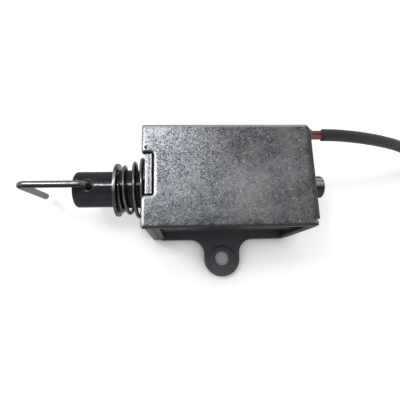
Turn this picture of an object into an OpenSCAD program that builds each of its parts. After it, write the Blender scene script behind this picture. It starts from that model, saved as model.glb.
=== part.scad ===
// Pull solenoid with a return spring: a steel yoke and front plate round a moulded coil case.
// Origin: centre of the underside. +X runs from the hook end to the lead end, +Z is up.

/* [Frame] */
// Length of the yoke's top leg
frame_l = 50.4; // [46:0.2:60]
// Width of the top leg and of the front plate
frame_w = 30.2; // [29.6:0.2:36]
// Height from the underside to the top of the yoke
frame_h = 30.8; // [29:0.2:34]
// Thickness of the yoke and the front plate
plate_t = 2; // [1.6:0.1:2.4]
// Inside radius of the yoke's bend
bend_in = 0.5; // [0.3:0.1:1]
// Width of the yoke's back wall
back_w = 27.2; // [24:0.2:27.6]
// Width of the front plate's tab
tab_w = 11.9; // [9:0.1:15]
// How far the front plate sits back from the end of the top leg
front_set = 1; // [0.6:0.1:2]

/* [Coil] */
// Wall of the coil case round the winding
case_wall = 1.4; // [1.2:0.1:1.8]
// Thickness of the case's end flanges
flange_t = 2; // [1.6:0.1:3]
// Thickness of the case's floor and mounting ear
floor_t = 2.4; // [2:0.1:2.6]
// Wall of the bobbin's tube
bobbin_wall = 1; // [0.8:0.1:1.4]
// Thickness of the bobbin's cheeks
cheek_t = 1.2; // [0.8:0.1:2]
// Thickness of the tape wrap
tape_t = 0.4; // [0.2:0.1:0.8]
// Wall of the brass guide tube
guide_wall = 0.4; // [0.3:0.05:0.6]

/* [Mounting ear] */
// Width of the ear, which is also the diameter of its round end
ear_w = 12.4; // [11:0.2:14]
// Distance from the case's side to the middle of the hole
ear_out = 6.7; // [6:0.1:10]
// Diameter of the screw hole
ear_hole_d = 5; // [4:0.1:6]
// Radius of the fillets at the ear's root
ear_fillet = 5; // [3:0.5:6]
// Diameter of the raised boss round the hole
boss_d = 8.6; // [7:0.2:10]
// Height of the raised boss
boss_h = 0.5; // [0.3:0.1:1]

/* [Plunger] */
// Diameter of the plunger in its guide
plunger_d = 12.4; // [12:0.1:12.8]
// Diameter of the nose in front of the clip
nose_d = 11.6; // [11:0.1:11.8]
// How far the nose stands out of the front plate
nose_out = 23.7; // [21:0.1:30]
// Travel from spring-out to pulled-in
stroke = 6; // [3:0.5:7]
// Diameter of the pole piece's tail
tail_d = 7.2; // [6:0.2:8]
// How far the tail stands out of the back wall
tail_out = 7.5; // [4:0.1:10]

/* [Return spring and clip] */
// Wire diameter of the spring
spring_wire = 1.2; // [1:0.05:1.3]
// Outside diameter of the spring's small end
spring_small_d = 15.8; // [15.4:0.1:16.2]
// Outside diameter of the spring's large end
spring_large_d = 21.4; // [21:0.1:24]
// Length of the spring at rest
spring_l = 9.7; // [9:0.1:11]
// Turns of the spring
spring_turns = 4; // [3:1:5]
// Outside diameter of the retaining clip
clip_d = 17.2; // [16:0.1:18]
// Thickness of the retaining clip
clip_t = 1; // [0.8:0.1:1.2]
// Diameter of the clip's groove
groove_d = 8; // [7:0.2:9]

/* [Hook] */
// Wire diameter of the pull hook
hook_wire = 2.2; // [1.6:0.1:2.4]
// Distance from the plunger's end to the cross hole
hook_set = 4.7; // [4.5:0.1:8]
// Distance from the cross hole to the middle of the hook's leg
hook_reach = 19.9; // [16:0.1:30]
// Height of the leg's tip above the underside
hook_tip_z = 3.3; // [2:0.1:8]

/* [Leads] */
// Outside diameter of each lead wire
wire_d = 1.4; // [1.2:0.1:1.5]
// Outside diameter of the sleeve over the two wires
sleeve_d = 3.7; // [3.4:0.1:3.8]

/* [Hidden] */
$fn = 64;
eps = 0.01;

// Clearances
run_gap = 0.05;    // plunger in its guide, radial
fit_gap = 0.05;    // pieces pushed into one another, radial
wrap_gap = 0.03;   // winding and tape on what they are wound round
case_gap = 0.1;    // case under the top leg, cheeks in the case
free_gap = 0.3;    // pieces that move past one another
tab_gap = 0.35;    // tab in its notch, each side
stake_low = 0.15;  // tab below the top face

// Places along X
bend_out = bend_in + plate_t;
x_front = -frame_l / 2 + front_set;
x_case = x_front + plate_t;
x_wall = frame_l / 2 - plate_t;
x_cavity = x_case + flange_t;
x_rear = x_wall - flange_t;
x_nose = x_front - nose_out;
x_clip = x_front - spring_l;
x_hole = x_nose + hook_set;

// Tab and notch: a little toward the lead side
tab_shift = 0.35;

// Back wall: a little toward the lead side, so that the case's rim covers its near edge
back_shift = 0.6;
back_near = back_shift - back_w / 2;
back_far = back_shift + back_w / 2;
rim_gap = 0.15;
rim_over = 1;
rim_w = frame_w / 2 + back_near - rim_gap;

// Heights and radii round the plunger's axis
case_low = 1.1;
case_r = (frame_h - plate_t - case_gap - case_low) / 2;
axis_z = case_low + case_r;
plunger_r = plunger_d / 2;
nose_r = nose_d / 2;
guide_r = plunger_r + run_gap;
guide_out = guide_r + guide_wall;
bobbin_in = guide_out + fit_gap;
bobbin_out = bobbin_in + bobbin_wall;
cavity_r = case_r - case_wall;
cheek_r = cavity_r - case_gap;
tape_out = cheek_r - case_gap;
tape_in = tape_out - tape_t;
tail_r = tail_d / 2;

// Coil case, front cap and mounting ear
floor_over = 0.5;
floor_w = frame_w + 2 * floor_over;
floor_r = 1.5;
cap_lip = 1;
x_wind = x_cavity + cap_lip + cheek_t;
ear_y = -floor_w / 2 - ear_out;
case_top = frame_h - plate_t - case_gap;

// Plunger seat: the plunger's cone runs into the pole piece's cone
cone_half = 30;
tip_r = 2.5;
tip_x = 2;
shim_t = 0.5;
shim_face = tip_x + stroke + free_gap;
seat_x = shim_face + shim_t;
seat_r = tip_r + 0.1;
rim_r = plunger_r - 0.6;
cone_l = (plunger_r - tip_r) / tan(cone_half);
seat_l = (rim_r - seat_r) / tan(cone_half);

// Push-on ring on the pole's tail
retainer_w = 3.5;
retainer_t = 0.8;
retainer_slot = 0.8;

// Front bush
bush_flange_r = plunger_r + 2.5;
bush_flange_t = 1.2;
bush_r = plunger_r + 1;

// Hook
hook_hole_r = hook_wire / 2 + 0.8;
hook_sink = 0.25;
hook_z = axis_z + nose_r + hook_wire / 2 + 0.2;
clinch_z = axis_z - nose_r - hook_wire / 2 - free_gap;
clinch_l = 2.4;
hook_bend = 2;
hole_bend = 2.2;
hook_lean = [2, 4];

// Leads: the two wires leave the case's lead boss side by side
lead_z = case_top - 1.7;
lead_y = frame_w / 2 - 1.75;
lead_boss_w = 3.9;
lead_boss_h = 8;
lead_boss_l = 9;
lead_wall = 0.3;
web_z = 5;
web_h = 4;
lead_in = 7;
wire_pitch = wire_d;
splice_l = 2;
grommet_w = 3.4;
grommet_h = 2.4;
grommet_out = 1.4;
sleeve_gap = 4;
sleeve_x = frame_l / 2 + sleeve_gap;
sleeve_r = sleeve_d / 2;

// Route of the sleeve: share of the drop to the table at each step away from the back wall
route_step = 4;
route_fall = [0, 0, 0.03, 0.065, 0.11, 0.165, 0.23, 0.3, 0.39, 0.49, 0.59, 0.69, 0.79, 0.88, 0.95, 0.99, 1];
sleeve_route = [for (i = [0 : len(route_fall) - 1])
    [sleeve_x + i * route_step, lead_y, lead_z - (lead_z - sleeve_r) * route_fall[i]]];

// Put-away coil: radius of the first turn, inside radius, middle
coil_r = 23;
coil_in = 15;
coil_at = [sleeve_x + (len(route_fall) - 1) * route_step + 2, lead_y - coil_r];
tail_turn = -108;
tail_aim = 110;
tail_l = 14;
tinned_l = 6;
tinned_d = 0.9;
tail_pitch = wire_d + 0.2;

function unit(v) = v / norm(v);

// Direction of a path at its point i
function heading(path, i) = unit(path[min(i + 1, len(path) - 1)] - path[max(i - 1, 0)]);

// Points round a path's point, with side fixing where the first one lies
function ring(at, along, side, r, n) =
    let (u = unit(cross(side, along)), v = cross(along, u))
    [for (k = [0 : n - 1]) at + r * (cos(360 * k / n) * u + sin(360 * k / n) * v)];

// Round tube along a path of points, with a side direction for each point
module tube(path, sides, r, n) {
    last = len(path) - 1;
    points = [for (i = [0 : last]) each ring(path[i], heading(path, i), sides[i], r, n)];
    walls = [
        for (i = [0 : last - 1], k = [0 : n - 1])
            [i * n + k, i * n + (k + 1) % n, (i + 1) * n + (k + 1) % n, (i + 1) * n + k]
    ];
    start = [for (k = [n - 1 : -1 : 0]) k];
    end = [for (k = [0 : n - 1]) last * n + k];
    polyhedron(points, concat([start, end], walls), convexity = 10);
}

// Places its children with their Z axis along X, on the plunger's axis
module on_axis(x = 0) {
    translate([x, 0, axis_z]) rotate([0, 90, 0]) children();
}

// Tube along X on the plunger's axis
module sleeve_ring(x0, x1, r_in, r_out) {
    on_axis(x0) difference() {
        cylinder(r = r_out, h = x1 - x0);
        translate([0, 0, -1]) cylinder(r = r_in, h = x1 - x0 + 2);
    }
}

// Turned piece: profile points are [x, radius]
module turned(profile) {
    on_axis() rotate_extrude() polygon([for (p = profile) [p[1], p[0]]]);
}

// Plate with rounded upright edges
module round_plate(x0, x1, w, h, r) {
    translate([x0, -w / 2 + r, 0]) cube([x1 - x0, w - 2 * r, h]);
    translate([x0 + r, -w / 2, 0]) cube([x1 - x0 - 2 * r, w, h]);
    for (x = [x0 + r, x1 - r], y = [-w / 2 + r, w / 2 - r])
        translate([x, y, 0]) cylinder(r = r, h = h);
}

// Bend of round wire: from straight up at [r, 0, 0] over toward -X, by a quarter turn or another angle
module wire_bend(r, d, turn = 90) {
    rotate([90, 0, 0]) rotate_extrude(angle = turn) translate([r, 0]) circle(d = d);
}

// Cutter that rounds the top leg's corner at the mouth of the notch
module mouth_cut(r) {
    difference() {
        translate([-1, -r, -1]) cube([r + 1, r + 1, plate_t + 2]);
        translate([r, -r, -2]) cylinder(r = r, h = plate_t + 4);
    }
}

// Bent steel frame: top leg with the notch for the front plate, rounded bend and back wall
module yoke() {
    leg_r = 0.7;
    corner_l = bend_out / 2 - 0.1;
    corner_w = 1.45;
    corner_x = frame_l / 2 - bend_out;
    notch_w = tab_w + 2 * tab_gap;
    notch_l = front_set + plate_t + 0.4;
    notch_r = 0.8;
    mouth_near = 1.1;
    mouth_far = 0.5;
    leg_z = frame_h - plate_t;
    lead_cut_y = lead_y - grommet_w / 2 - fit_gap;
    lead_cut_z = lead_z - grommet_h / 2 - fit_gap;
    color("silver") difference() {
        union() {
            translate([-frame_l / 2 + leg_r, -frame_w / 2, leg_z])
                cube([frame_l - bend_out - leg_r, frame_w, plate_t]);
            translate([-frame_l / 2, -frame_w / 2 + leg_r, leg_z])
                cube([2 * leg_r, frame_w - 2 * leg_r, plate_t]);
            for (y = [-frame_w / 2 + leg_r, frame_w / 2 - leg_r])
                translate([-frame_l / 2 + leg_r, y, leg_z]) cylinder(r = leg_r, h = plate_t);
            translate([corner_x - eps, -frame_w / 2, leg_z]) cube([corner_l, corner_w, plate_t]);
            translate([corner_x, frame_w / 2, frame_h - bend_out])
                rotate([90, 0, 0]) rotate_extrude(angle = 90)
                    translate([bend_in, 0]) square([plate_t, frame_w / 2 - back_near]);
            translate([x_wall, back_near, 0]) cube([plate_t, back_w, frame_h - bend_out]);
        }
        translate([-frame_l / 2 - 1, tab_shift - notch_w / 2, leg_z - 1]) {
            cube([notch_l + 1 - notch_r, notch_w, plate_t + 2]);
            translate([0, notch_r, 0]) cube([notch_l + 1, notch_w - 2 * notch_r, plate_t + 2]);
            for (y = [notch_r, notch_w - notch_r])
                translate([notch_l + 1 - notch_r, y, 0]) cylinder(r = notch_r, h = plate_t + 2);
        }
        translate([0, 0, leg_z - bend_out]) linear_extrude(bend_out + plate_t + 1) polygon([
            [corner_x + corner_l + 0.6, back_far], [frame_l / 2 + 1, back_far],
            [frame_l / 2 + 1, frame_w / 2 + 1], [corner_x + corner_l - 0.4, frame_w / 2 + 1],
            [corner_x + corner_l - 0.4, frame_w / 2]
        ]);
        translate([-frame_l / 2, tab_shift - notch_w / 2, leg_z]) mouth_cut(mouth_near);
        translate([-frame_l / 2, tab_shift + notch_w / 2, leg_z]) mirror([0, 1, 0]) mouth_cut(mouth_far);
        on_axis(x_wall - 1) cylinder(r = tail_r + fit_gap, h = plate_t + 2);
        translate([x_wall - 1, lead_cut_y, lead_cut_z])
            cube([plate_t + 2, back_w, grommet_h + 2 * fit_gap]);
    }
}

// Flat front plate with its tab, bored for the bush
module front_plate() {
    color("lightgray") difference() {
        union() {
            translate([x_front, -frame_w / 2, 0]) cube([plate_t, frame_w, frame_h - plate_t]);
            translate([x_front, tab_shift - tab_w / 2, frame_h - plate_t - eps])
                cube([plate_t, tab_w, plate_t - stake_low]);
        }
        on_axis(x_front - 1) cylinder(r = bush_r + fit_gap, h = plate_t + 2);
    }
}

// Mounting ear: round end, root fillets and a raised boss round the hole
module ear() {
    root_y = -floor_w / 2;
    translate([-ear_w / 2, ear_y, 0]) cube([ear_w, -ear_y, floor_t]);
    translate([0, ear_y, 0]) {
        cylinder(d = ear_w, h = floor_t);
        cylinder(d = boss_d, h = floor_t + boss_h);
    }
    for (side = [0, 1])
        mirror([side, 0, 0]) translate([ear_w / 2, root_y - ear_fillet, 0]) difference() {
            translate([-eps, 0, 0]) cube([ear_fillet + eps, ear_fillet + 1, floor_t]);
            translate([ear_fillet, 0, -1]) cylinder(r = ear_fillet, h = floor_t + 2);
        }
}

// Moulded base: rounded plate with the ear, a trough for the case's shell and a lip at the back wall
module base_plate() {
    color("#232126") difference() {
        union() {
            round_plate(x_case, x_wall, floor_w, floor_t, floor_r);
            translate([x_wall - floor_r, -frame_w / 2, 0]) cube([floor_r + rim_over, rim_w, floor_t]);
            ear();
        }
        on_axis(x_cavity - fit_gap) cylinder(r = case_r + fit_gap, h = x_rear - x_cavity + 2 * fit_gap);
        translate([0, ear_y, -1]) cylinder(d = ear_hole_d, h = floor_t + boss_h + 2);
    }
}

// Moulded case: round shell for the winding, rear flange with its rim, and the lead boss
module coil_case() {
    boss_y = lead_y + wire_pitch / 2 + wire_d / 2 + lead_wall - lead_boss_w;
    relief = bend_in + case_gap;
    color("#26242a") difference() {
        union() {
            on_axis(x_cavity) cylinder(r = case_r, h = x_rear - x_cavity + eps);
            translate([x_rear, -frame_w / 2, floor_t])
                cube([flange_t, frame_w, case_top - floor_t]);
            translate([x_wall - eps, -frame_w / 2, floor_t])
                cube([rim_over + eps, rim_w, case_top - floor_t]);
            translate([x_rear - lead_boss_l, boss_y, case_top - lead_boss_h])
                cube([lead_boss_l + eps, lead_boss_w, lead_boss_h]);
            translate([x_rear - lead_boss_l, 0, axis_z + web_z])
                cube([lead_boss_l + eps, boss_y + eps, web_h]);
        }
        on_axis(x_cavity - 1) cylinder(r = cavity_r, h = x_rear - x_cavity + 1);
        on_axis(x_rear - 1) cylinder(r = bobbin_out + fit_gap, h = flange_t + 2);
        translate([x_wall, back_shift, case_top]) rotate([0, 45, 0])
            cube([relief * sqrt(2), back_w + rim_gap, relief * sqrt(2)], center = true);
        for (side = [-1, 1])
            translate([x_rear - lead_in, lead_y + side * wire_pitch / 2, lead_z]) rotate([0, 90, 0])
                cylinder(d = wire_d + 2 * fit_gap, h = lead_in + flange_t + 1, $fn = 32);
    }
}

// Front flange of the case, with a lip inside the shell
module case_cap() {
    color("#2a282d") difference() {
        union() {
            translate([x_case, -frame_w / 2, floor_t])
                cube([flange_t, frame_w, case_top - floor_t]);
            on_axis(x_cavity - eps) cylinder(r = cavity_r - fit_gap, h = cap_lip);
        }
        on_axis(x_case - 1) cylinder(r = bobbin_out + fit_gap, h = flange_t + cap_lip + 2);
        translate([x_cavity, -frame_w / 2, -1]) cube([cap_lip + 1, frame_w, floor_t + 1]);
    }
}

// Bobbin: thin tube with a cheek at each end of the winding
module bobbin() {
    front = x_cavity + cap_lip;
    color("ivory") union() {
        sleeve_ring(x_case, x_wall, bobbin_in, bobbin_out);
        sleeve_ring(front, front + cheek_t, bobbin_out - eps, cheek_r);
        sleeve_ring(x_rear - cheek_t, x_rear, bobbin_out - eps, cheek_r);
    }
}

// Enamelled wire wound between the cheeks, as one body
module coil_winding() {
    color("peru")
        sleeve_ring(x_wind, x_rear - cheek_t, bobbin_out + wrap_gap, tape_in - wrap_gap);
}

// Tape wrap over the winding
module coil_tape() {
    color("goldenrod") sleeve_ring(x_wind, x_rear - cheek_t, tape_in, tape_out);
}

// Brass tube that guides the plunger and carries the pole piece
module guide_tube() {
    color("darkgoldenrod") sleeve_ring(x_case, x_wall, guide_r, guide_out);
}

// Fixed pole: conical seat inside the tube, shoulder on the back wall, tail through it
module pole_piece() {
    chamfer = 0.3;
    tail_end = frame_l / 2 + tail_out;
    color("gray") turned([
        [seat_x, 0], [seat_x, seat_r], [seat_x - seat_l, rim_r], [seat_x - seat_l, plunger_r],
        [x_wall, plunger_r], [x_wall, tail_r], [tail_end - chamfer, tail_r],
        [tail_end, tail_r - chamfer], [tail_end, 0]
    ]);
}

// Thin disc that keeps the plunger from sticking to the pole
module shim_disc() {
    color("khaki") on_axis(shim_face) cylinder(r = tip_r, h = shim_t);
}

// Push-on ring that grips the pole's tail against the back wall
module pole_retainer() {
    slots = 6;
    color("slategray") on_axis(frame_l / 2) difference() {
        cylinder(r = tail_r + retainer_w, h = retainer_t);
        translate([0, 0, -retainer_t]) cylinder(r = tail_r + fit_gap, h = 3 * retainer_t);
        for (k = [0 : slots - 1])
            rotate(360 * k / slots) translate([0, -retainer_slot / 2, -retainer_t])
                cube([tail_r + retainer_w / 2, retainer_slot, 3 * retainer_t]);
    }
}

// Flanged bush in the front plate
module front_bush() {
    bush_in = plunger_r + free_gap;
    color("#1f1e22") turned([
        [x_front - bush_flange_t, bush_in], [x_front - bush_flange_t, bush_flange_r],
        [x_front, bush_flange_r], [x_front, bush_r], [x_case, bush_r], [x_case, bush_in]
    ]);
}

// Plunger: rounded nose with the cross hole, clip groove, guided body and cone
module plunger() {
    edge = 1.1;
    arc = [for (a = [0 : 15 : 90])
        [x_nose + edge - edge * cos(a), nose_r - edge + edge * sin(a)]];
    groove_x = x_clip - clip_t - fit_gap;
    profile = concat([[x_nose, 0]], arc, [
        [groove_x, nose_r], [groove_x, groove_d / 2],
        [x_clip + fit_gap, groove_d / 2], [x_clip + fit_gap, plunger_r],
        [tip_x - cone_l, plunger_r], [tip_x, tip_r], [tip_x, 0]
    ]);
    color("#2b292e") difference() {
        turned(profile);
        translate([x_hole, 0, axis_z - plunger_d]) cylinder(r = hook_hole_r, h = 2 * plunger_d);
        for (end = [0, 1])
            translate([x_hole, 0, axis_z]) mirror([0, 0, end])
                translate([0, 0, nose_r - hook_sink])
                    cylinder(r1 = hook_hole_r, r2 = hook_hole_r + 2 * hook_sink, h = 2 * hook_sink);
    }
}

// E-shaped clip in the plunger's groove, open on its underside and a little off centre
module spring_clip() {
    rim = 2.2;
    prong_w = 3;
    mouth_w = 6;
    drop = 0.3;
    color("gainsboro") on_axis(x_clip - clip_t) linear_extrude(clip_t) difference() {
        union() {
            translate([0, -drop]) difference() {
                circle(d = clip_d);
                circle(d = clip_d - 2 * rim);
            }
            for (a = [80, 180, 280])
                rotate(a) translate([groove_d / 2 - prong_w / 4, -prong_w / 2])
                    square([(clip_d - groove_d) / 2 - rim / 2, prong_w]);
        }
        circle(d = groove_d + 2 * fit_gap);
        translate([0, -mouth_w / 2]) square([clip_d, mouth_w]);
    }
}

// Conical spring: closed end on the clip, large end flat on the front plate
function spring_rise(s) = lookup(s, [
    [0, 0], [0.15, 0.06], [0.31, 0.28], [0.44, 0.51], [0.5, 0.59],
    [0.56, 0.64], [0.69, 0.8], [0.8, 0.94], [1, 1]
]);
function spring_swell(s) = lookup(s, [[0, 0], [0.18, 0], [0.75, 1], [1, 1]]);

module return_spring() {
    steps = 20;
    count = spring_turns * steps;
    small = (spring_small_d - spring_wire) / 2;
    large = (spring_large_d - spring_wire) / 2;
    travel = spring_l - spring_wire - 2 * fit_gap;
    sides = [for (i = [0 : count]) [0, -sin(360 * i / steps), cos(360 * i / steps)]];
    path = [for (i = [0 : count])
        [x_clip + fit_gap + spring_wire / 2 + travel * spring_rise(i / count), 0, axis_z]
        + (small + (large - small) * spring_swell(i / count)) * sides[i]];
    color("dimgray") tube(path, sides, spring_wire / 2, 8);
}

// Wire hook: clinched under the plunger, up through the cross hole, along and down to its tip,
// which leans a little to one side and back
module pull_hook() {
    leg_x = x_hole - hook_reach;
    leg_top = hook_z - hook_bend;
    leg_l = leg_top - hook_tip_z - hook_wire / 2;
    color("lightsteelblue") {
        translate([leg_x + hook_bend, 0, hook_z]) rotate([hook_lean[0], 0, 0])
            translate([0, 0, -hook_bend]) mirror([1, 0, 0]) rotate([0, hook_lean[1], 0]) {
                wire_bend(hook_bend, hook_wire, 90 + hook_lean[1], $fn = 32);
                translate([hook_bend, 0, -leg_l]) rotate_extrude($fn = 32) polygon(concat(
                    [[0, leg_l], [hook_wire / 2, leg_l]],
                    [for (a = [0 : 18 : 90]) hook_wire / 2 * [cos(a), -sin(a)]]
                ));
            }
        translate([leg_x + hook_bend, 0, hook_z]) rotate([0, 90, 0])
            cylinder(d = hook_wire, h = hook_reach - hook_bend - hole_bend, $fn = 32);
        translate([x_hole - hole_bend, 0, hook_z - hole_bend])
            wire_bend(hole_bend, hook_wire, $fn = 32);
        translate([x_hole, 0, clinch_z + hole_bend])
            cylinder(d = hook_wire, h = hook_z - clinch_z - 2 * hole_bend, $fn = 32);
        translate([x_hole + hole_bend, 0, clinch_z + hole_bend]) rotate([0, 180, 0])
            wire_bend(hole_bend, hook_wire, $fn = 32);
        translate([x_hole + hole_bend, 0, clinch_z]) rotate([0, 90, 0])
            cylinder(d = hook_wire, h = clinch_l, $fn = 32);
    }
}

// Soft grommet in the back wall's cut-out, with a hole for each wire
module lead_grommet() {
    color("darkgray") difference() {
        translate([x_wall, lead_y - grommet_w / 2, lead_z - grommet_h / 2])
            cube([plate_t + grommet_out, grommet_w, grommet_h]);
        for (side = [-1, 1])
            translate([x_wall - 1, lead_y + side * wire_pitch / 2, lead_z]) rotate([0, 90, 0])
                cylinder(d = wire_d + 2 * fit_gap, h = plate_t + grommet_out + 2, $fn = 32);
    }
}

// Lead wire from its splice in the case to the sleeve, on one side of the pair
module lead_wire(side) {
    start = x_rear - lead_in + splice_l;
    color("firebrick") translate([start, lead_y + side * (wire_pitch / 2 + eps), lead_z])
        rotate([0, 90, 0]) cylinder(d = wire_d, h = sleeve_x - start, $fn = 32);
}

module lead_wire_1() {
    lead_wire(-1);
}

module lead_wire_2() {
    lead_wire(1);
}

// Soldered ends of the two wires inside the lead boss
module lead_splices() {
    color("lightgray") for (side = [-1, 1])
        translate([x_rear - lead_in, lead_y + side * (wire_pitch / 2 + eps), lead_z])
            rotate([0, 90, 0]) cylinder(d = wire_d - 0.2, h = splice_l, $fn = 32);
}

// Sleeve over both wires, along the route that is not coiled
module lead_sleeve() {
    color("#3a383b") tube(sleeve_route, [for (p = sleeve_route) [0, 1, 0]], sleeve_r, 8);
}

// Outer shape of the put-away turns, side by side on the table
module lead_coil() {
    color("#3a383b") translate([coil_at[0], coil_at[1], 0]) rotate_extrude() {
        translate([coil_in + sleeve_r, 0]) square([coil_r - coil_in - sleeve_r, sleeve_d]);
        for (r = [coil_in + sleeve_r, coil_r])
            translate([r, sleeve_r]) circle(r = sleeve_r, $fn = 32);
    }
}

// Places its children at the start of each wire tail, with their Z axis along it
module at_tails() {
    for (side = [-1, 1])
        translate([coil_at[0], coil_at[1], wire_d / 2])
            translate((coil_in + 0.5) * [cos(tail_turn), sin(tail_turn), 0])
                rotate(tail_aim) translate([0, side * tail_pitch / 2, 0]) rotate([0, 90, 0]) children();
}

// Free ends of the two wires, past the end of the sleeve
module lead_tails() {
    color("firebrick") at_tails() cylinder(d = wire_d, h = tail_l, $fn = 32);
}

// Stripped and tinned tips
module tinned_ends() {
    color("lightgray") at_tails() translate([0, 0, tail_l])
        cylinder(d = tinned_d, h = tinned_l, $fn = 32);
}

yoke();
front_plate();
base_plate();
coil_case();
case_cap();
bobbin();
coil_winding();
coil_tape();
guide_tube();
pole_piece();
shim_disc();
pole_retainer();
front_bush();
plunger();
spring_clip();
return_spring();
pull_hook();
lead_grommet();
lead_wire_1();
lead_wire_2();
lead_splices();
lead_sleeve();
lead_coil();
lead_tails();
tinned_ends();
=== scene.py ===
import math

import bmesh
import bpy
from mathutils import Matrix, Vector


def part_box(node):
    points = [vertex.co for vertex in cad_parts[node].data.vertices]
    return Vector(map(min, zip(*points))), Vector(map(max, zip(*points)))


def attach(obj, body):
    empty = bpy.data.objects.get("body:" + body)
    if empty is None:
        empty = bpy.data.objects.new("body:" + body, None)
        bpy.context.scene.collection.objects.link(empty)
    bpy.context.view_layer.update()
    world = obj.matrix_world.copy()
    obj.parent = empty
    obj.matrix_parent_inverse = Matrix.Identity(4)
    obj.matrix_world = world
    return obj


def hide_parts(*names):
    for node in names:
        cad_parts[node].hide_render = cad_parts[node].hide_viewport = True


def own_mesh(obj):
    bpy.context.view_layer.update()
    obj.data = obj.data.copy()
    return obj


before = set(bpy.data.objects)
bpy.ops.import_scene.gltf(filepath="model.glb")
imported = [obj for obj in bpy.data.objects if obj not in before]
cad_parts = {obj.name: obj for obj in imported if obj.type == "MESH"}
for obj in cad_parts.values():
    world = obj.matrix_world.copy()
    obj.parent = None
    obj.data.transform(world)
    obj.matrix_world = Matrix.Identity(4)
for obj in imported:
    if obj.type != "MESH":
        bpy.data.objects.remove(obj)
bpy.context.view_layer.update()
scene = bpy.context.scene
scene.view_settings.view_transform = "Standard"


# The table and the light. The solenoid lies on a white table top between pale walls, under a
# ceiling that is brightest towards the hook end, with a skylight and one small lamp.
MM = 0.001
table_size = 4.0
table_gap = 0.02 * MM
table_white = 0.8
table_glow = 0.4
shade_reach = 6 * MM
shade_samples = 8
daylight = (0.98, 0.99, 1.0, 1)
ceiling_low, ceiling_overhead = 0.25, 1.1
ceiling_edge = (0.55, 0.82)
# Each change of the ceiling's light: the axis it goes along, where it starts and ends, and the
# share of the light at its start and at its end.
ceiling_changes = (("X", -0.3, 0.5, 0.89, 0.77), ("Y", -0.4, 0.35, 0.3, 1),
                   ("Y", 0.33, 0.6, 1, 0.6), ("X", 0.5, 0.85, 1, 0.4))
wall_light = 0.9
window_from = Vector((-0.15, 0.46, 0.87)).normalized()
window_edge = (0.97, 0.998)
window_light = 3.2
lamp_from = Vector((-0.45, 0.25, 0.86)).normalized()
lamp_distance = 0.8
lamp_size = 0.16
lamp_watts = 1.45


def node_of(tree, kind, **settings):
    """A shader node with its settings; names of sockets are given with their values in `inputs`."""
    node = tree.nodes.new(kind)
    for name, value in settings.pop("inputs", {}).items():
        node.inputs[name].default_value = value
    for name, value in settings.items():
        setattr(node, name, value)
    return node


def scaled(tree, number, low, high, to_low, to_high):
    """The number moved from the range low..high to the range to_low..to_high, and kept in it."""
    step = node_of(tree, "ShaderNodeMapRange", inputs={"From Min": low, "From Max": high,
                                                       "To Min": to_low, "To Max": to_high})
    tree.links.new(number, step.inputs["Value"])
    return step.outputs["Result"]


def worked_out(tree, operation, first, second):
    """Number that a math node makes of two numbers."""
    step = node_of(tree, "ShaderNodeMath", operation=operation)
    tree.links.new(first, step.inputs[0])
    tree.links.new(second, step.inputs[1])
    return step.outputs[0]


def times(tree, first, second):
    return worked_out(tree, "MULTIPLY", first, second)


def plus(tree, first, second):
    return worked_out(tree, "ADD", first, second)


def larger(tree, first, second):
    return worked_out(tree, "MAXIMUM", first, second)


def measured(tree, operation, vector, other):
    """Distance or dot product of a vector and another, which is a socket or has fixed values."""
    step = node_of(tree, "ShaderNodeVectorMath", operation=operation)
    tree.links.new(vector, step.inputs[0])
    if isinstance(other, bpy.types.NodeSocket):
        tree.links.new(other, step.inputs[1])
    else:
        step.inputs[1].default_value = other
    return step.outputs["Value"]


def part_of(tree, vector, axis):
    """One part, X, Y or Z, of a vector."""
    parts = node_of(tree, "ShaderNodeSeparateXYZ")
    tree.links.new(vector, parts.inputs[0])
    return parts.outputs[axis]


def table_paint():
    """White paint that shows as plain white behind the object and takes its real shadow; its glow is dimmed
    near the object as painted shade.
    """
    paint = bpy.data.materials.new("table_white")
    paint.use_nodes = True
    tree = paint.node_tree
    tree.nodes.clear()
    matt = node_of(tree, "ShaderNodeBsdfDiffuse", inputs={"Color": (table_white,) * 3 + (1,)})
    glow = node_of(tree, "ShaderNodeEmission")
    rays = node_of(tree, "ShaderNodeLightPath").outputs
    open_sky = node_of(tree, "ShaderNodeAmbientOcclusion", samples=shade_samples,
                       inputs={"Distance": shade_reach}).outputs["AO"]
    both = node_of(tree, "ShaderNodeAddShader")
    out = node_of(tree, "ShaderNodeOutputMaterial")
    seen = larger(tree, rays["Is Camera Ray"], rays["Is Glossy Ray"])
    seen = larger(tree, seen, rays["Is Transmission Ray"])
    # the glow is dimmed twice by the occlusion near the object: painted contact shade
    level = times(tree, scaled(tree, seen, 0, 1, 0, table_glow), open_sky)
    level = times(tree, level, open_sky)
    tree.links.new(level, glow.inputs["Strength"])
    tree.links.new(matt.outputs[0], both.inputs[0])
    tree.links.new(glow.outputs[0], both.inputs[1])
    tree.links.new(both.outputs[0], out.inputs["Surface"])
    return paint


bpy.ops.mesh.primitive_plane_add(size=table_size, location=(0, 0, -table_gap))
table = bpy.context.object
table.name = "table_top"
table.data.materials.append(table_paint())

room = bpy.data.worlds.new("room")
scene.world = room
room.use_nodes = True
sky = room.node_tree
facing = node_of(sky, "ShaderNodeTexCoord").outputs["Generated"]
height = part_of(sky, facing, "Z")
ceiling = scaled(sky, height, 0, 1, ceiling_low, ceiling_overhead)
for axis, start, end, first, last in ceiling_changes:
    ceiling = times(sky, ceiling, scaled(sky, part_of(sky, facing, axis), start, end, first, last))
ceiling = times(sky, ceiling, scaled(sky, height, *ceiling_edge, 0, 1))
walls = scaled(sky, height, *ceiling_edge, wall_light, 0)
window = scaled(sky, measured(sky, "DOT_PRODUCT", facing, window_from), *window_edge, 0, window_light)
background = sky.nodes["Background"]
sky.links.new(plus(sky, plus(sky, ceiling, walls), window), background.inputs["Strength"])
background.inputs["Color"].default_value = daylight

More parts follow.
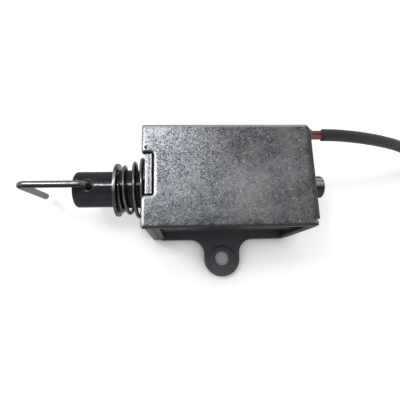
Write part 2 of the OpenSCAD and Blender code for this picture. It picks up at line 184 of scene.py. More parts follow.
lamp_data = bpy.data.lights.new("lamp", "AREA")
lamp_data.shape = "DISK"
lamp_data.size = lamp_size
lamp_data.energy = lamp_watts
lamp = bpy.data.objects.new("lamp", lamp_data)
scene.collection.objects.link(lamp)
lamp.location = lamp_from * lamp_distance
lamp.rotation_euler = (-lamp_from).to_track_quat("-Z", "Y").to_euler()


# The camera: held close above the part, a little in front of it and tilted back,
# which is why the case's side and the ear show under the top leg.
camera_data = bpy.data.cameras.new("camera")
camera_data.sensor_width = 36
camera_data.lens = 28.98
camera_data.shift_x = 0.00695
camera_data.shift_y = -0.0061
camera_data.clip_start = 0.005
camera = bpy.data.objects.new("camera", camera_data)
scene.collection.objects.link(camera)
camera.location = (-14.088 * MM, -27.19 * MM, 117.408 * MM)
camera.rotation_euler = (0.232, -0.045, -0.024)
scene.camera = camera


# The yoke: a strip of zinc-plated steel, blanked with its notch and bent over once.
# The plating is finely mottled and scuffed, bluish at one end and a little straw-coloured at
# the other, dark round the bend; its sheared edges are smoother and darker. Its rolled-over edges
# carry a painted highlight where they face left and away, and painted shade elsewhere.
yoke_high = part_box("yoke")[1]
leg_top = yoke_high.z / MM
yoke_edge = 0.18
yoke_roll = 1.5
weld_within = 0.001 * MM
flat_within = math.radians(0.4)
edge_from = math.radians(38)
edge_segments = 3
zinc_grey = (0.2, 0.205, 0.215)
zinc_sheen = (0.55, 0.55, 0.56, 1)
blue_dark, blue_pale = (0.063, 0.0655, 0.073), (0.34, 0.353, 0.38)
straw_dark, straw_pale = (0.069, 0.0665, 0.064), (0.328, 0.318, 0.303)
scuff_bright = (0.53, 0.535, 0.55)
speck_bright = (0.82, 0.83, 0.85)
bend_dark = (0.06, 0.0575, 0.0585)
# Painted shade and painted highlight on the rolled-over edges, and the way the highlighted ones face.
roll_painted_shade, roll_painted_highlight = (0.075, 0.073, 0.074), (0.5, 0.5, 0.505)
roll_highlight_way = (-0.7, 0.7, 0)
side_dark, side_pale = (0.03, 0.0285, 0.029), (0.056, 0.0535, 0.0545)
coarse_spot = (-16, 8, leg_top)
plating_depth = 0.02
# The scuffs' directions in radians and how far each is drawn out; then the light and dark patches
# of the top leg, each with its X, Y, reach in millimetres and change of tone; the last, at the top-left
# corner, is a painted highlight.
scuff_ways = ((0.5, 0.26), (-0.9, 0.3), (1.4, 0.24), (2.3, 0.34))
scuff_across = 3.2
zinc_patches_and_highlight = ((5, -2.5, 8, 0.45), (17, 1, 6, 0.35), (3, 11, 13, -0.35), (-23, 13, 7, 0.22))


def finish_of(name, colour, metallic, roughness, **more):
    """A material whose even values are set on its shader; returns it, its tree and its shader."""
    finish = bpy.data.materials.new(name)
    finish.use_nodes = True
    shader = finish.node_tree.nodes["Principled BSDF"]
    shader.inputs["Base Color"].default_value = (*colour, 1)
    shader.inputs["Metallic"].default_value = metallic
    shader.inputs["Roughness"].default_value = roughness
    for socket, value in more.items():
        shader.inputs[socket.replace("_", " ")].default_value = value
    return finish, finish.node_tree, shader


def place_in_mm(tree, stretch=(1, 1, 1), turn=(0, 0, 0)):
    """The piece's own place in millimetres, stretched and turned for textures that run one way."""
    where = node_of(tree, "ShaderNodeTexCoord")
    scale = node_of(tree, "ShaderNodeMapping", vector_type="TEXTURE")
    scale.inputs["Scale"].default_value = [MM / s for s in stretch]
    scale.inputs["Rotation"].default_value = turn
    tree.links.new(where.outputs["Object"], scale.inputs["Vector"])
    return scale.outputs["Vector"]


def normal_of(tree):
    """The way the surface faces."""
    return node_of(tree, "ShaderNodeNewGeometry").outputs["Normal"]


def grain(tree, place, size, detail=2.0, rough=0.5, low=0.3, high=0.7, bend=0.0):
    """Cloudy grain of about `size` millimetres, from 0 to 1."""
    cloud = node_of(tree, "ShaderNodeTexNoise", inputs={"Scale": 1 / size, "Detail": detail,
                                                        "Roughness": rough, "Distortion": bend})
    tree.links.new(place, cloud.inputs["Vector"])
    return scaled(tree, cloud.outputs["Fac"], low, high, 0, 1)


def between(tree, share, first, second):
    """Colour that goes from the first to the second with `share`; each is a colour or a socket."""
    mix = node_of(tree, "ShaderNodeMix", data_type="RGBA")
    for socket, colour in (("A", first), ("B", second)):
        if isinstance(colour, tuple):
            mix.inputs[socket].default_value = (*colour, 1)
        else:
            tree.links.new(colour, mix.inputs[socket])
    tree.links.new(share, mix.inputs["Factor"])
    return mix.outputs["Result"]


def relief(tree, shader, height, depth, normal=None):
    """Bump of `depth` millimetres from `height`, which is from 0 to 1."""
    bump = node_of(tree, "ShaderNodeBump", inputs={"Strength": 1.0, "Distance": depth * MM})
    tree.links.new(height, bump.inputs["Height"])
    tree.links.new(bump.outputs["Normal"], shader.inputs["Normal"])
    if normal:
        tree.links.new(normal, bump.inputs["Normal"])


def plating_marks(tree, place):
    """The plating's clouds, mottle, fine grain, specks and scuffs, each from 0 to 1."""
    clouds = grain(tree, place, 9.0, detail=4.0, rough=0.6, low=0.34, high=0.66)
    mottle = grain(tree, place, 1.9, detail=4.0, rough=0.65, low=0.3, high=0.7)
    fine = grain(tree, place, 0.36, detail=2.0, rough=0.6, low=0.32, high=0.68)
    specks = grain(tree, place, 0.45, detail=2.0, rough=0.6, low=0.66, high=0.73)
    scuffs = None
    for angle, reach in scuff_ways:
        lines = place_in_mm(tree, stretch=(reach, scuff_across, 1), turn=(0, 0, angle))
        marks = grain(tree, lines, 1.0, detail=1.0, low=0.71, high=0.77, bend=0.4)
        scuffs = marks if scuffs is None else larger(tree, scuffs, marks)
    return clouds, mottle, fine, specks, scuffs


def plating_share(tree, place, clouds, mottle, fine):
    """How light the plating is, from 0 to 1: its grain, its patches, a painted highlight at the top-left
    corner, and its darker rear and near side.
    """
    coarse = scaled(tree, measured(tree, "DISTANCE", place, coarse_spot), 8, 26, 1, 0.4)
    share = plus(tree, scaled(tree, clouds, 0, 1, 0, 0.6), scaled(tree, mottle, 0, 1, 0, 0.5))
    share = plus(tree, share, times(tree, scaled(tree, fine, 0, 1, -1, 1), coarse))
    for x, y, reach, change in zinc_patches_and_highlight:
        away = measured(tree, "DISTANCE", place, (x, y, leg_top))
        share = plus(tree, share, scaled(tree, away, reach / 4, reach, change, 0))
    share = plus(tree, share, scaled(tree, part_of(tree, place, "X"), 18, 25, 0, -0.35))
    share = plus(tree, share, scaled(tree, part_of(tree, place, "Y"), -15, -11, -0.3, 0))
    return scaled(tree, share, -0.1, 1.4, 0, 1)


def zinc_plating(name, roll):
    """Scuffed zinc plating, smoother where the edges roll over, with a painted highlight on rolled edges
    that face left and away and painted shade on the others, and bare on the sheared sides.
    """
    finish, tree, shader = finish_of(name, zinc_grey, metallic=1.0, roughness=0.28,
                                     Specular_Tint=zinc_sheen)
    place = place_in_mm(tree)
    clouds, mottle, fine, specks, scuffs = plating_marks(tree, place)
    share = plating_share(tree, place, clouds, mottle, fine)
    bluish = between(tree, share, blue_dark, blue_pale)
    straw = between(tree, share, straw_dark, straw_pale)
    drift = plus(tree, part_of(tree, place, "X"), scaled(tree, clouds, 0, 1, -20, 20))
    tone = between(tree, scaled(tree, drift, -6, 34, 0, 1), bluish, straw)
    tone = between(tree, scaled(tree, scuffs, 0, 1, 0, 0.5), tone, scuff_bright)
    tone = between(tree, scaled(tree, specks, 0, 1, 0, 0.9), tone, speck_bright)
    solid = node_of(tree, "ShaderNodeNewGeometry").outputs
    bent = times(tree, scaled(tree, part_of(tree, solid["Normal"], "X"), 0.02, 0.3, 0, 0.75),
                 scaled(tree, part_of(tree, solid["Normal"], "Z"), 0.1, 0.45, 0, 1))
    tone = between(tree, bent, tone, bend_dark)
    rolled = node_of(tree, "ShaderNodeBevel", samples=16, inputs={"Radius": roll * MM}).outputs[0]
    turned = measured(tree, "DOT_PRODUCT", rolled, solid["True Normal"])
    rolled_edge = scaled(tree, turned, 0.998, 0.965, 0, 1)
    # Rolled-over edges: painted highlight where they lean left and away, painted shade where they lean
    # otherwise.
    toward_highlight = scaled(tree, measured(tree, "DOT_PRODUCT", rolled, roll_highlight_way), -0.1, 0.05, 0, 1)
    tone = between(tree, rolled_edge, tone, between(tree, toward_highlight, roll_painted_shade, roll_painted_highlight))
    side = node_of(tree, "ShaderNodeMath", operation="ABSOLUTE")
    tree.links.new(part_of(tree, solid["True Normal"], "Y"), side.inputs[0])
    tone = between(tree, scaled(tree, side.outputs[0], 0.6, 0.9, 0, 1), tone,
                   between(tree, fine, side_dark, side_pale))
    rough = plus(tree, scaled(tree, share, 0, 1, 0.32, 0.24), scaled(tree, rolled_edge, 0, 1, 0, -0.06))
    tree.links.new(rough, shader.inputs["Roughness"])
    bumps = plus(tree, scaled(tree, plus(tree, mottle, fine), 0, 2, 0, 0.7),
                 scaled(tree, specks, 0, 1, 0, 0.3))
    bumps = times(tree, bumps, scaled(tree, rolled_edge, 0, 1, 1, 0.2))
    relief(tree, shader, bumps, plating_depth, normal=rolled)
    tree.links.new(tone, shader.inputs["Base Color"])
    return finish, tree, shader, place, tone


def two_tone(name, dark, pale, size, metallic, roughness, stretch=(1, 1, 1), detail=2.0, rough=0.5,
             rougher=None, bump=None, **more):
    """A finish that wanders between two colours in grain of `size` millimetres, and with the same
    grain between two roughnesses or two heights, where these are given."""
    middle = [(low + high) / 2 for low, high in zip(dark, pale)]
    finish, tree, shader = finish_of(name, middle, metallic, roughness, **more)
    cloud = grain(tree, place_in_mm(tree, stretch=stretch), size, detail=detail, rough=rough)
    tree.links.new(between(tree, cloud, dark, pale), shader.inputs["Base Color"])
    if rougher:
        tree.links.new(scaled(tree, cloud, 0, 1, roughness, rougher), shader.inputs["Roughness"])
    if bump:
        relief(tree, shader, cloud, bump)
    return finish


def dress(name, finish, edge=None, edge_finish=None):
    """Gives a CAD node's shape its finish and, where `edge` is given, rounds its edges by `edge`
    millimetres, with a finish of their own if they have one."""
    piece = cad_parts[name]
    piece.data.materials.clear()
    piece.data.materials.append(finish)
    for face in piece.data.polygons:
        face.use_smooth = True
    weld = piece.modifiers.new("weld", "WELD")
    weld.merge_threshold = weld_within
    flats = piece.modifiers.new("flats", "DECIMATE")
    flats.decimate_type = "DISSOLVE"
    flats.angle_limit = flat_within
    if edge:
        bevel = piece.modifiers.new("rounded_edges", "BEVEL")
        bevel.width = edge * MM
        bevel.segments = edge_segments
        bevel.limit_method = "ANGLE"
        bevel.angle_limit = edge_from
        bevel.use_clamp_overlap = False
        if edge_finish:
            piece.data.materials.append(edge_finish)
            bevel.material = 1
    cuts = piece.modifiers.new("cuts", "TRIANGULATE")
    cuts.ngon_method = "BEAUTY"
    cuts.min_vertices = 5
    normals = piece.modifiers.new("even_normals", "WEIGHTED_NORMAL")
    normals.keep_sharp = True


zinc = zinc_plating("zinc_plating", yoke_roll)[0]
worn_zinc = two_tone("sheared_edge", (0.03, 0.029, 0.029), (0.08, 0.078, 0.077), size=0.8,
                     metallic=1.0, roughness=0.24, rougher=0.4, detail=4.0, rough=0.65,
                     Specular_Tint=(0.4, 0.4, 0.4, 1))
dress("yoke", zinc, edge=yoke_edge, edge_finish=worn_zinc)


# The punch mark: the press leaves one small dot in the top leg beside the notch,
# a dent in the plated steel with a low burr round it.
punch_at = Vector((-24.05 * MM, 8.14 * MM, yoke_high.z))
punch_sides = 24
# From the outside to the middle: how far out in millimetres, and how high over the leg.
punch_profile = [(0.52, -0.01), (0.45, 0.03), (0.38, 0.04), (0.3, 0.022), (0.18, 0.01), (0.06, 0.006)]


def skin(shape, rings):
    """Faces between each ring of corners and the next."""
    for ring, after in zip(rings, rings[1:]):
        for k in range(len(ring)):
            follow = (k + 1) % len(ring)
            shape.faces.new((ring[k], ring[follow], after[follow], after[k]))


def piece_from(name, shape, finish):
    """The shape as a smooth object in the scene."""
    mesh = bpy.data.meshes.new(name)
    shape.to_mesh(mesh)
    shape.free()
    for face in mesh.polygons:
        face.use_smooth = True
    mesh.materials.append(finish)
    piece = bpy.data.objects.new(name, mesh)
    scene.collection.objects.link(piece)
    return piece


punch = bmesh.new()
punch_rings = []
for reach, rise in punch_profile:
    ring = []
    for k in range(punch_sides):
        angle = 2 * math.pi * k / punch_sides
        corner = Vector((reach * math.cos(angle), reach * math.sin(angle), rise))
        ring.append(punch.verts.new(punch_at + MM * corner))
    punch_rings.append(ring)
skin(punch, punch_rings)
punch.faces.new(punch_rings[-1])
punch_mark = piece_from("punch_mark", punch, worn_zinc)
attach(punch_mark, "frame")


# The front plate: the same plated steel, flat, with its tab staked into the yoke's notch.
# The end of the tab is a sheared face, bright, with the ragged line where the steel tore.
plate_low, plate_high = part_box("front_plate")
plate_edge = 0.06
plate_roll = 0.5
tab_dark, tab_bright = (0.15, 0.151, 0.154), (0.56, 0.56, 0.56)
torn_dark = (0.05, 0.05, 0.051)
torn_share = 0.58
torn_at = (plate_low.x + (plate_high.x - plate_low.x) * torn_share) / MM
torn_reach = 0.15
torn_waver = 0.18
tab_top = plate_high.z / MM
sheared_depth, plated_depth = 0.2, 0.3


def plate_with_sheared_tab():
    finish, tree, shader, place, tone = zinc_plating("plate_zinc", plate_roll)
    cut = scaled(tree, part_of(tree, place, "Z"), tab_top - plated_depth, tab_top - sheared_depth, 0, 1)
    speckle = grain(tree, place, 0.4, detail=3.0, rough=0.7, low=0.36, high=0.64)
    waver = scaled(tree, grain(tree, place, 0.9, detail=3.0), 0, 1, -torn_waver, torn_waver)
    sheared = between(tree, speckle, tab_dark, tab_bright)
    torn = node_of(tree, "ShaderNodeMath", operation="COMPARE", inputs={1: torn_at, 2: torn_reach})
    tree.links.new(plus(tree, part_of(tree, place, "X"), waver), torn.inputs[0])
    sheared = between(tree, scaled(tree, torn.outputs[0], 0, 1, 0, 0.85), sheared, torn_dark)
    tree.links.new(between(tree, cut, tone, sheared), shader.inputs["Base Color"])
    return finish


dress("front_plate", plate_with_sheared_tab(), edge=plate_edge, edge_finish=worn_zinc)


# The base, case and cap: three black mouldings. The base is glossy and carries the ear; the case,
# the dullest, closes round the winding, and the cap is pushed into its open end.
def black_moulding(name, deep, pale, roughness, shine):
    """Black plastic with a faint haze, a little dust and the mould's fine texture."""
    finish, tree, shader = finish_of(name, deep, metallic=0.0, roughness=roughness,
                                     Specular_IOR_Level=shine)
    place = place_in_mm(tree)
    haze = grain(tree, place, 5.0, detail=3.0)
    dust = grain(tree, place, 0.5, detail=3.0, low=0.6, high=0.75)
    tree.links.new(between(tree, haze, deep, pale), shader.inputs["Base Color"])
    tree.links.new(scaled(tree, plus(tree, haze, dust), 0, 1, roughness - 0.05, roughness + 0.1),
                   shader.inputs["Roughness"])
    relief(tree, shader, grain(tree, place, 0.7), 0.004)
    return finish


glossy_black = black_moulding("glossy_moulding", (0.066, 0.06, 0.07), (0.078, 0.071, 0.082),
                              roughness=0.36, shine=0.4)
dull_black = black_moulding("dull_moulding", (0.03, 0.027, 0.032), (0.042, 0.0375, 0.044),
                            roughness=0.55, shine=0.15)
case_black = black_moulding("case_moulding", (0.019, 0.017, 0.02), (0.027, 0.024, 0.028),
                            roughness=0.6, shine=0.12)
dress("base_plate", glossy_black, edge=0.22)
dress("coil_case", case_black, edge=0.12)
dress("case_cap", dull_black, edge=0.3)


# The bobbin, its winding and the tape over it: nylon, enamelled copper and polyester tape,
# closed in by the case. The winding's turns and the tape run round the bobbin.
nylon = two_tone("bobbin_nylon", (0.69, 0.65, 0.55), (0.75, 0.71, 0.62), size=3.0,
                 metallic=0.0, roughness=0.5)
copper = two_tone("wound_copper", (0.42, 0.17, 0.07), (0.62, 0.29, 0.13), size=0.35,
                  metallic=1.0, roughness=0.32, stretch=(1, 0.05, 0.05), detail=1.0, bump=0.05)
tape = two_tone("polyester_tape", (0.56, 0.38, 0.09), (0.64, 0.46, 0.13), size=2.0,
                metallic=0.0, roughness=0.3, stretch=(1, 0.3, 0.3))
dress("bobbin", nylon, edge=0.1)
dress("coil_winding", copper)
dress("coil_tape", tape)


# The guide tube, the pole piece with its shim, and the ring that holds the pole:
# drawn brass, turned and plated steel, brass foil and a stamped spring-steel ring.
pole_dark, pole_pale = (0.032, 0.031, 0.032), (0.06, 0.058, 0.059)
pole_painted_highlight = (0.4, 0.395, 0.39)
pole_highlight_way = (0, 0.3, 0.954)
spring_dark, spring_pale = (0.06, 0.055, 0.0555), (0.11, 0.101, 0.101)
spring_painted_highlight = (0.34, 0.317, 0.31)


def turned_steel():
    """Plated steel with fine lathe marks, stained, and with a painted highlight where it faces up."""
    finish, tree, shader = finish_of("turned_steel", pole_dark, metallic=1.0, roughness=0.25,
                                     Specular_Tint=(0.4, 0.4, 0.4, 1))
    lines = grain(tree, place_in_mm(tree, stretch=(1, 0.04, 0.04)), 0.12)
    stains = grain(tree, place_in_mm(tree), 1.6, detail=3.0)
    # painted highlight where the surface faces up
    shine = measured(tree, "DOT_PRODUCT", normal_of(tree), pole_highlight_way)
    shine = scaled(tree, shine, 0.86, 0.98, 0, 1)
    tone = between(tree, shine, between(tree, stains, pole_dark, pole_pale), pole_painted_highlight)
    tree.links.new(tone, shader.inputs["Base Color"])
    tree.links.new(scaled(tree, plus(tree, stains, lines), 0, 2, 0.16, 0.34), shader.inputs["Roughness"])
    relief(tree, shader, lines, 0.004)
    return finish


def spring_steel():
    """Dark oiled steel, with a painted highlight along the hook side of each turn."""
    finish, tree, shader = finish_of("spring_steel", spring_dark, metallic=1.0, roughness=0.22,
                                     Specular_Tint=(0.7, 0.68, 0.67, 1))
    smears = grain(tree, place_in_mm(tree), 1.2, detail=3.0)
    normal = normal_of(tree)
    lengthwise = part_of(tree, normal, "X")
    # painted highlight along the upper hook side of each turn
    painted_highlight_line = times(tree, scaled(tree, lengthwise, -0.54, -0.3, 0, 1),
                     scaled(tree, lengthwise, -0.3, -0.06, 0.9, 0))
    painted_highlight_line = times(tree, painted_highlight_line, scaled(tree, part_of(tree, normal, "Z"), 0.5, 0.85, 0.1, 1))
    tone = between(tree, painted_highlight_line, between(tree, smears, spring_dark, spring_pale), spring_painted_highlight)
    tree.links.new(tone, shader.inputs["Base Color"])
    tree.links.new(scaled(tree, smears, 0, 1, 0.16, 0.26), shader.inputs["Roughness"])
    return finish


brass = two_tone("drawn_brass", (0.55, 0.37, 0.14), (0.68, 0.49, 0.21), size=0.3,
                 metallic=1.0, roughness=0.22, rougher=0.36, stretch=(0.05, 1, 1))
spring_grey = spring_steel()
dress("guide_tube", brass)
dress("pole_piece", turned_steel(), edge=0.12)
dress("shim_disc", brass, edge=0.05)
dress("pole_retainer", spring_grey, edge=0.1)


# The front bush: a black nylon collar, pressed into the hole of the front plate,
# in which the plunger slides.
dress("front_bush", dull_black, edge=0.15)


# The plunger and its clip: a turned and blackened steel rod with a cross hole, and an E-shaped clip
# snapped into its groove as the spring's seat. Along the top of both there is a painted highlight,
# and the bore and rim of the hole are lightened with painted light.
rod_dark, rod_pale = (0.033, 0.03, 0.0345), (0.039, 0.035, 0.0405)
rod_painted_highlight = (0.3, 0.283, 0.29)
cross_hole_x = -43.2
cross_hole_edge = (1.92, 2.1)
hole_rim_painted_light, hole_bore_painted_light = (0.21, 0.197, 0.202), (0.62, 0.59, 0.6)
clip_dark, clip_pale = (0.056, 0.052, 0.054), (0.086, 0.081, 0.083)
clip_painted_highlight = (0.36, 0.35, 0.345)
clip_highlight_way = (0, 0.12, 0.993)


def blackened_steel():
    """Blackened steel whose tool marks run round it, with a painted highlight along its top and painted
    light in the cross hole's bore and rim.
    """
    finish, tree, shader = finish_of("blackened_steel", rod_dark, metallic=0.45, roughness=0.24,
                                     Specular_Tint=(0.15, 0.14, 0.16, 1), Specular_IOR_Level=0.1,
                                     Anisotropic=0.9, Anisotropic_Rotation=0.25)
    round_it = node_of(tree, "ShaderNodeTangent", direction_type="RADIAL", axis="X")
    tree.links.new(round_it.outputs[0], shader.inputs["Tangent"])
    place = place_in_mm(tree)
    lines = grain(tree, place_in_mm(tree, stretch=(1, 0.03, 0.03)), 0.3)
    rubs = grain(tree, place, 2.2, detail=4.0)
    upward = part_of(tree, normal_of(tree), "Z")
    patchy = grain(tree, place_in_mm(tree, stretch=(0.5, 1, 1)), 1.0, low=0.25, high=0.55)
    # painted highlight along the top of the rod
    highlight_streak = times(tree, scaled(tree, upward, 0.9976, 0.9996, 0, 1), patchy)
    hole_axis = node_of(tree, "ShaderNodeCombineXYZ", inputs={"X": cross_hole_x})
    tree.links.new(part_of(tree, place, "Z"), hole_axis.inputs["Z"])
    away = measured(tree, "DISTANCE", place, hole_axis.outputs[0])
    # painted light on the hole's rim and in its bore, where the hole would otherwise lie in shade
    at_hole = scaled(tree, away, *cross_hole_edge, 1, 0)
    bore_painted_light = times(tree, at_hole, scaled(tree, upward, 0.05, 0.3, 1, 0))
    tone = between(tree, highlight_streak, between(tree, rubs, rod_dark, rod_pale), rod_painted_highlight)
    tone = between(tree, bore_painted_light, between(tree, at_hole, tone, hole_rim_painted_light), hole_bore_painted_light)
    tree.links.new(tone, shader.inputs["Base Color"])
    tree.links.new(scaled(tree, plus(tree, rubs, lines), 0, 2, 0.1, 0.32), shader.inputs["Roughness"])
    relief(tree, shader, grain(tree, place, 0.25), 0.003)
    return finish


def clip_plating():
    """Dark plating, with a painted highlight along the top of the clip's rim."""
    finish, tree, shader = finish_of("clip_plating", clip_pale, metallic=0.5, roughness=0.18,
                                     Specular_Tint=(0.4, 0.4, 0.4, 1))
    smears = grain(tree, place_in_mm(tree), 1.5, detail=4.0)
    # painted highlight where the rim faces up
    shine = measured(tree, "DOT_PRODUCT", normal_of(tree), clip_highlight_way)
    shine = scaled(tree, shine, 0.9, 0.985, 0, 1)
    tone = between(tree, shine, between(tree, smears, clip_dark, clip_pale), clip_painted_highlight)
    tree.links.new(tone, shader.inputs["Base Color"])
    tree.links.new(scaled(tree, smears, 0, 1, 0.12, 0.26), shader.inputs["Roughness"])
    return finish


dress("plunger", blackened_steel(), edge=0.12)
dress("spring_clip", clip_plating(), edge=0.1)


# The return spring: hard-drawn wire wound as a cone, its small end on the clip
# and its large end flat on the front plate. It shortens as the plunger is pulled in.
spring_low, spring_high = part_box("return_spring")
plunger_axis = (spring_low.z + spring_high.z) / 2
spring_wire = 1.2 * MM
spring_turns = 4
spring_small = (15.8 * MM - spring_wire) / 2
spring_large = (21.4 * MM - spring_wire) / 2
spring_sides = 20
steps_a_turn = 48
spring_easing = 6
# Shares of the wire's way, with the share of the spring's length and of its widening reached there.
spring_rise = [(0, 0), (0.15, 0.06), (0.31, 0.28), (0.44, 0.51), (0.5, 0.59), (0.56, 0.64),
               (0.69, 0.8), (0.8, 0.94), (1, 1)]
spring_swell = [(0, 0), (0.18, 0), (0.75, 1), (1, 1)]
wire_rim = 0.12
sharp_from = math.radians(60)


def along(steps, share):
    """Value at `share` of a list of (share, value) steps."""
    for (start, first), (end, last) in zip(steps, steps[1:]):
        if share <= end:
            return first + (last - first) * (share - start) / (end - start)
    return steps[-1][1]


def eased(path, rounds):
    """The path with its kinks taken out; its ends stay where they are."""
    for _ in range(rounds):
        inner = [(a + b * 2 + c) / 4 for a, b, c in zip(path, path[1:], path[2:])]
        path = [path[0]] + inner + [path[-1]]
    return path


def sweep(name, path, radius, sides, finish, bore=None, depth=0.0):
    """Round wire along a path of points; with a bore it is a tube that is open at both ends."""
    ahead = [(path[min(i + 1, len(path) - 1)] - path[max(i - 1, 0)]).normalized()
             for i in range(len(path))]
    rim = wire_rim * radius
    stations = [(path[0], ahead[0], radius - rim), (path[0] + ahead[0] * rim, ahead[0], radius)]
    stations += [(point, way, radius) for point, way in zip(path[1:-1], ahead[1:-1])]
    stations += [(path[-1] - ahead[-1] * rim, ahead[-1], radius), (path[-1], ahead[-1], radius - rim)]
    if bore:
        first = [(path[0] + ahead[0] * depth, ahead[0], bore), (path[0], ahead[0], bore)]
        last = [(path[-1], ahead[-1], bore), (path[-1] - ahead[-1] * depth, ahead[-1], bore)]
        stations = first + stations + last
    shape = bmesh.new()
    side = stations[0][1].orthogonal().normalized()
    rings = []
    for point, way, reach in stations:
        side = (side - way * side.dot(way)).normalized()
        over = way.cross(side)
        ring = []
        for k in range(sides):
            angle = 2 * math.pi * k / sides
            ring.append(shape.verts.new(point + reach * (math.cos(angle) * side + math.sin(angle) * over)))
        rings.append(ring)
    skin(shape, rings)
    shape.faces.new(rings[0])
    shape.faces.new(rings[-1])
    bmesh.ops.recalc_face_normals(shape, faces=shape.faces)
    for line in shape.edges:
        line.smooth = len(line.link_faces) != 2 or line.calc_face_angle(0) < sharp_from
    return piece_from(name, shape, finish)


spring_start = spring_low.x + spring_wire / 2
spring_length = spring_high.x - spring_low.x
spring_run = spring_length - spring_wire
spring_steps = steps_a_turn * spring_turns
spring_path = []
for i in range(spring_steps + 1):
    share = i / spring_steps
    turn = 2 * math.pi * spring_turns * share
    reach = spring_small + (spring_large - spring_small) * along(spring_swell, share)
    spring_path.append(Vector((spring_start + spring_run * along(spring_rise, share),
                               -reach * math.sin(turn), plunger_axis + reach * math.cos(turn))))
spring = sweep("wound_spring", eased(spring_path, spring_easing), spring_wire / 2, spring_sides, spring_grey)
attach(spring, "frame")
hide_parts("return_spring")
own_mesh(spring)


# The pull hook: dark plated wire, put through the plunger's cross hole and clinched under it.
# Its run has a painted highlight along the top and a painted dark reflection along the near
# side; the leg is dull.
hook_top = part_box("pull_hook")[1].z / MM
hook_dark, hook_pale = (0.15, 0.136, 0.128), (0.22, 0.203, 0.194)
hook_painted_shade = (0.022, 0.02, 0.0205)
hook_painted_highlight = (0.42, 0.41, 0.4)
hook_highlight_way = (0, -0.2, 0.98)
# Depths under the hook's top at which its run ends and its leg begins.
run_depth, leg_depth = 2.2, 3.4


# Dark plated wire; on its run a painted highlight along the top and painted dark reflection on the near
# side.
def hook_wire_painted_light():
    finish, tree, shader = finish_of("hook_wire_painted_light", hook_dark, metallic=1.0, roughness=0.2,
                                     Specular_Tint=(0.6, 0.6, 0.6, 1))
    place = place_in_mm(tree)
    smears = grain(tree, place, 1.5, detail=4.0)
    normal = normal_of(tree)
    on_run = scaled(tree, part_of(tree, place, "Z"), hook_top - leg_depth, hook_top - run_depth, 0, 1)
    nearness = part_of(tree, normal, "Y")
    near_side_shade = times(tree, on_run, scaled(tree, nearness, -0.6, -0.35, 1, 0))
    near_side_shade = times(tree, near_side_shade, scaled(tree, nearness, -0.99, -0.85, 0.45, 1))
    shine = measured(tree, "DOT_PRODUCT", normal, hook_highlight_way)
    shine = times(tree, on_run, scaled(tree, shine, 0.98, 1.0, 0, 1))
    tone = between(tree, near_side_shade, between(tree, smears, hook_dark, hook_pale), hook_painted_shade)
    tree.links.new(between(tree, shine, tone, hook_painted_highlight), shader.inputs["Base Color"])
    tree.links.new(scaled(tree, smears, 0, 1, 0.14, 0.28), shader.inputs["Roughness"])
    return finish


dress("pull_hook", hook_wire_painted_light(), edge=0.12)


# The leads: two red wires out of the case's corner through a soft grey grommet, a rounded block
# of rubber, and soldered to the winding inside the case.
red = two_tone("red_insulation", (0.18, 0.038, 0.043), (0.26, 0.06, 0.065), size=0.5,
               metallic=0.0, roughness=0.42, stretch=(0.2, 1, 1))
grey_rubber = two_tone("grey_rubber", (0.085, 0.083, 0.085), (0.13, 0.127, 0.13), size=0.8,
                       metallic=0.0, roughness=0.6)
tinned = two_tone("tinned_copper", (0.52, 0.5, 0.48), (0.68, 0.67, 0.65), size=0.4,
                  metallic=1.0, roughness=0.35)
wire_radius = 0.72 * MM
wire_sides = 20
wire_steps = 24
wire_in_sleeve = 5 * MM
grommet_low, grommet_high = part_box("lead_grommet")
grommet_round = 0.5 * MM
corner_steps = 6
# The grommet outside the wall: how far out, and how much smaller all round, in millimetres.
grommet_profile = [(-0.15, 0), (0.05, 0.05), (0.15, 0.12), (0.65, 0.14), (0.82, 0.19), (0.93, 0.3),
                   (0.97, 0.46)]

dress("lead_splices", tinned, edge=0.1)

block = bmesh.new()
block_rings = []
for x, inset in [(grommet_low.x, 0)] + [(yoke_high.x + out * MM, inset) for out, inset in grommet_profile]:
    shrink = inset * MM + grommet_round
    near, far = grommet_low.y + shrink, grommet_high.y - shrink
    under, over = grommet_low.z + shrink, grommet_high.z - shrink
    ring = []
    for quarter, (y, z) in enumerate(((far, over), (near, over), (near, under), (far, under))):
        for k in range(corner_steps + 1):
            angle = math.pi / 2 * (quarter + k / corner_steps)
            ring.append(block.verts.new((x, y + grommet_round * math.cos(angle),
                                         z + grommet_round * math.sin(angle))))
    block_rings.append(ring)
skin(block, block_rings)
block.faces.new(block_rings[0])
block.faces.new(block_rings[-1])
bmesh.ops.recalc_face_normals(block, faces=block.faces)
grommet = piece_from("rubber_grommet", block, grey_rubber)
for face in grommet.data.polygons:
    face.use_smooth = len(face.vertices) == 4
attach(grommet, "frame")
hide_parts("lead_grommet")

for name in ("lead_wire_1", "lead_wire_2"):
    low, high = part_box(name)
    start = Vector((low.x, (low.y + high.y) / 2, (low.z + high.z) / 2))
    reach = high.x - low.x + wire_in_sleeve
    path = [start + Vector((reach * i / wire_steps, 0, 0)) for i in range(wire_steps + 1)]
    wire = sweep("red_" + name, path, wire_radius, wire_sides, red)
    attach(wire, "frame")
    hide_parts(name)


# The sleeve: soft black tubing over both wires. It falls to the table and ends in a coil
# of the length that is left over, from which the two bare-ended wires come out.
sleeve_radius = 1.85 * MM
sleeve_bore = 1.5 * MM
sleeve_open = 4 * MM
sleeve_sides = 24
sleeve_easing = 10
sleeve_dark, sleeve_pale = (0.0172, 0.0138, 0.017), (0.0265, 0.0216, 0.0261)
sleeve_low, sleeve_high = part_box("lead_sleeve")
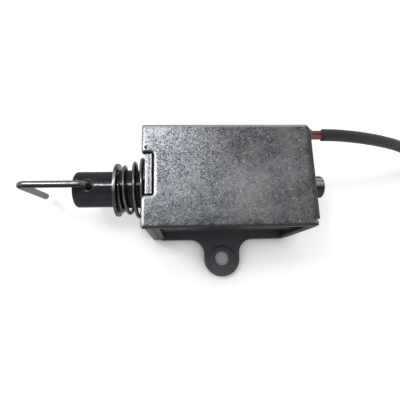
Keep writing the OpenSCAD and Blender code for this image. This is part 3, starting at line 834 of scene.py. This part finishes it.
# Points of the way down, one at each step along X: the share of the height that is lost there.
route_step = 4 * MM
route_fall = [0, 0, 0.03, 0.065, 0.11, 0.165, 0.23, 0.3, 0.39, 0.49, 0.59, 0.69, 0.79, 0.88, 0.95, 0.99, 1]
points_a_step = 4
coil_radius = 23 * MM
coil_turns = 1.55
coil_pitch = 4 * MM
coil_steps = 200
coil_low, coil_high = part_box("lead_coil")
coil_middle = (coil_low + coil_high) / 2


def black_sleeving():
    finish, tree, shader = finish_of("black_sleeving", sleeve_dark, metallic=0.0, roughness=0.5,
                                     Specular_IOR_Level=0.36)
    place = place_in_mm(tree)
    bloom = grain(tree, place, 1.5, detail=4.0)
    tree.links.new(between(tree, bloom, sleeve_dark, sleeve_pale), shader.inputs["Base Color"])
    tree.links.new(scaled(tree, bloom, 0, 1, 0.42, 0.6), shader.inputs["Roughness"])
    relief(tree, shader, grain(tree, place, 0.4), 0.006)
    return finish


sleeve_start = Vector((sleeve_low.x, (sleeve_low.y + sleeve_high.y) / 2, sleeve_high.z - sleeve_radius))
falls = list(enumerate(route_fall))
sleeve_points = []
for i in range(points_a_step * (len(route_fall) - 1) + 1):
    steps_on = i / points_a_step
    drop = (sleeve_start.z - sleeve_radius) * along(falls, steps_on)
    sleeve_points.append(sleeve_start + Vector((steps_on * route_step, 0, -drop)))
for i in range(coil_steps + 1):
    turned = 2 * math.pi * coil_turns * i / coil_steps
    reach = coil_radius - coil_pitch * coil_turns * i / coil_steps
    sleeve_points.append(Vector((coil_middle.x + reach * math.sin(turned),
                                 coil_middle.y + reach * math.cos(turned), sleeve_radius)))
sleeve_points = eased(sleeve_points, sleeve_easing)
sleeve = sweep("sleeved_lead", sleeve_points, sleeve_radius, sleeve_sides, black_sleeving(),
               bore=sleeve_bore, depth=sleeve_open)
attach(sleeve, "frame")
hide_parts("lead_sleeve", "lead_coil")


# The free ends of the two wires: they come out of the sleeve's far end and spread a little.
# Each is stripped at the tip, and its three strands are twisted and tinned.
tail_from = sleeve_points[-1]
tail_way = (sleeve_points[-1] - sleeve_points[-2]).normalized()
tail_turn = math.radians(110)
tail_aim = Vector((math.cos(tail_turn), math.sin(tail_turn), 0))
tail_in_sleeve = 3 * MM
tail_apart = 1.3 * MM
tail_pull, tip_pull = 18 * MM, 12 * MM
tail_steps = 32
tail_sides = 16
tinned_low, tinned_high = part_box("tinned_ends")
tinned_length = 6 * MM
tinned_inside = 0.5 * MM
strand_count = 3
strand_radius = 0.22 * MM
strand_off = 0.23 * MM
strand_turns = 2.5
strand_steps = 40
strand_sides = 10
up = Vector((0, 0, 1))


def swung(start, start_pull, tip, end_pull):
    """Points of a smooth curve that leaves the start and reaches the tip along their pulls."""
    path = []
    for i in range(tail_steps + 1):
        t = i / tail_steps
        path.append(start * (2 * t ** 3 - 3 * t ** 2 + 1) + tip * (3 * t ** 2 - 2 * t ** 3)
                    + start_pull * (t ** 3 - 2 * t ** 2 + t) + end_pull * (t ** 3 - t ** 2))
    return path


for side, name in ((-1, "near"), (1, "far")):
    beside = Vector((-tail_way.y, tail_way.x, 0)) * side
    tip_beside = Vector((-tail_aim.y, tail_aim.x, 0)) * side
    start = tail_from - tail_way * tail_in_sleeve + beside * wire_radius
    tip = Vector(((tinned_low.x + tinned_high.x) / 2, (tinned_low.y + tinned_high.y) / 2, wire_radius))
    tip = tip - tail_aim * tinned_length / 2 + tip_beside * tail_apart
    path = swung(start, tail_way * tail_pull, tip, tail_aim * tip_pull)
    wire = sweep("wire_tail_" + name, path, wire_radius, tail_sides, red)
    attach(wire, "frame")
    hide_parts("lead_tails")
    onward = (path[-1] - path[-2]).normalized()
    for strand in range(strand_count):
        twist = []
        for i in range(strand_steps + 1):
            angle = 2 * math.pi * (strand_turns * i / strand_steps + strand / strand_count)
            middle = path[-1] + onward * (i / strand_steps * tinned_length - tinned_inside)
            twist.append(middle + strand_off * (math.cos(angle) * tip_beside + math.sin(angle) * up))
        tip_wire = sweep("tinned_%s_%d" % (name, strand + 1), twist, strand_radius, strand_sides, tinned)
        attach(tip_wire, "frame")
        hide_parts("tinned_ends")
